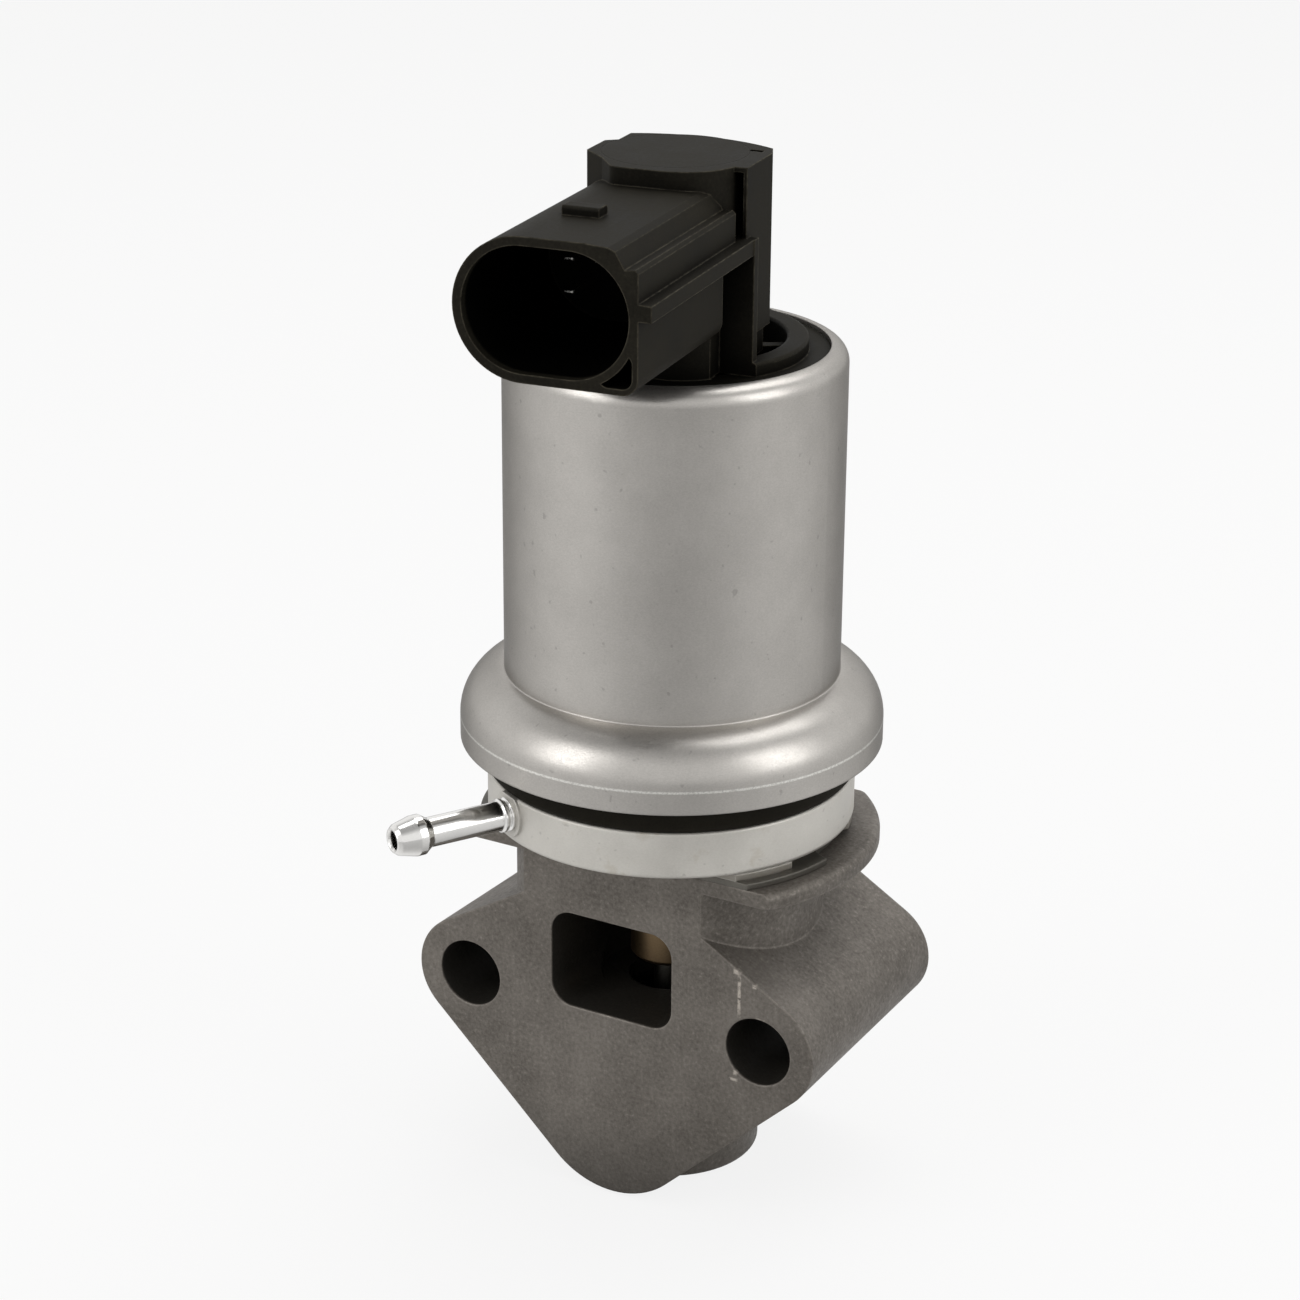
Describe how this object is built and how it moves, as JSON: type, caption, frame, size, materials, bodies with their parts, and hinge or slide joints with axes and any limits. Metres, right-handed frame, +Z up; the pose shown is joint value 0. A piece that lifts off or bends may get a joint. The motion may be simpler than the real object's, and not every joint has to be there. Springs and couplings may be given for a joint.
{
  "type": "egr valve",
  "caption": "Solenoid exhaust gas recirculation valve: cast two-bolt body, vented base ring, drawn can and a moulded cap with lift sensor and plug socket.",
  "frame": {"origin": "midway between the two flange bolts, on the front flange face", "axes": "+Z up the valve stem, +X along the line of the two bolts, and -Y out of the front flange face"},
  "size_m": [0.0572, 0.0676, 0.1338],
  "materials": {
    "cast_aluminium": "grainy matte casting",
    "hard_steel": "ground",
    "plug_steel": "zinc plated",
    "valve_steel": "turned",
    "guide_brass": "turned",
    "seal_polymer": "moulded",
    "spring_steel": "drawn wire",
    "pressed_steel": "pressed",
    "spacer_steel": "stamped, dull",
    "zinc": "die cast, smooth",
    "nickel": "bright plated",
    "rubber": "moulded",
    "screw_steel": "zinc plated",
    "can_steel": "satin nickel plated",
    "iron": "turned",
    "sleeve_steel": "drawn",
    "bobbin_plastic": "moulded",
    "copper": "enamelled wire",
    "black_plastic": "moulded, satin",
    "black_plastic_lid": "moulded, satin",
    "contact_metal": "tin plated",
    "board": "printed board",
    "pin_steel": "ground",
    "carrier_plastic": "moulded",
    "contact_brass": "sprung"
  },
  "bodies": {
    "housing": {"valve_body": "cast_aluminium", "valve_seat": "hard_steel", "bottom_plug": "plug_steel", "stem_guide": "guide_brass", "stem_seal": "seal_polymer", "return_spring": "spring_steel", "spacer_plate": "spacer_steel", "base_ring": "zinc", "vent_nipple": "nickel", "base_seal": "rubber", "base_screws": "screw_steel", "solenoid_can": "can_steel", "flange_plate": "pressed_steel", "pole_piece": "iron", "armature_sleeve": "sleeve_steel", "coil_bobbin": "bobbin_plastic", "coil_winding": "copper", "coil_leads": "copper", "upper_yoke": "pressed_steel", "cap_seal": "rubber", "top_cap": "black_plastic", "tower_lid": "black_plastic_lid", "contact_pins": "contact_metal", "sensor_board": "board", "sensor_spring": "spring_steel"},
    "valve": {"poppet_valve": "valve_steel", "spring_retainer": "pressed_steel", "retainer_clip": "spring_steel", "armature": "iron"},
    "plunger": {"sensor_pin": "pin_steel", "wiper_carrier": "carrier_plastic", "wiper_contact": "contact_brass"}
  },
  "joints": [
    {"name": "valve_lift", "type": "slide", "parent": "housing", "child": "valve", "axis": [0, 0, -1], "range_m": [0, 0.004], "stiffness_N_per_m": 2000, "springref_m": -0.008, "deforming": ["return_spring"]},
    {"name": "plunger_follow", "type": "slide", "parent": "housing", "child": "plunger", "axis": [0, 0, -1], "range_m": [0, 0.004], "stiffness_N_per_m": 200, "springref_m": 0.008, "deforming": ["sensor_spring"]}
  ],
  "couplings": [
    {"joint": "plunger_follow", "follows": "valve_lift", "ratio": 1}
  ]
}
